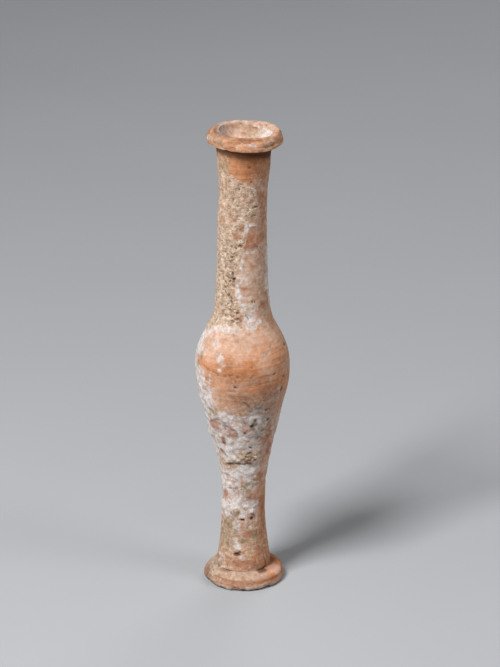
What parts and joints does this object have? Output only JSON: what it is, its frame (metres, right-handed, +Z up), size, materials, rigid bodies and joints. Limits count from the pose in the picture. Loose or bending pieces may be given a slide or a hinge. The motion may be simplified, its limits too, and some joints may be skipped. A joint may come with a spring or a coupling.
{
  "type": "fusiform ceramic unguentarium",
  "caption": "Slender spindle-shaped oil flask of fired clay with a disc foot, solid stem, hollow body, long neck with a narrow bore, and an overhanging dished lip.",
  "frame": {"origin": "on the ground, under the middle of the belly", "axes": "+Z up along the vessel's axis; -Y is the front, with the chipped part of the foot to its left (-X)"},
  "size_m": [0.0396, 0.0396, 0.2003],
  "materials": {
    "terracotta": "unglazed fired clay, matt, with soil and lime crust"
  },
  "bodies": {
    "root": {"unguentarium": "terracotta"}
  },
  "joints": []
}
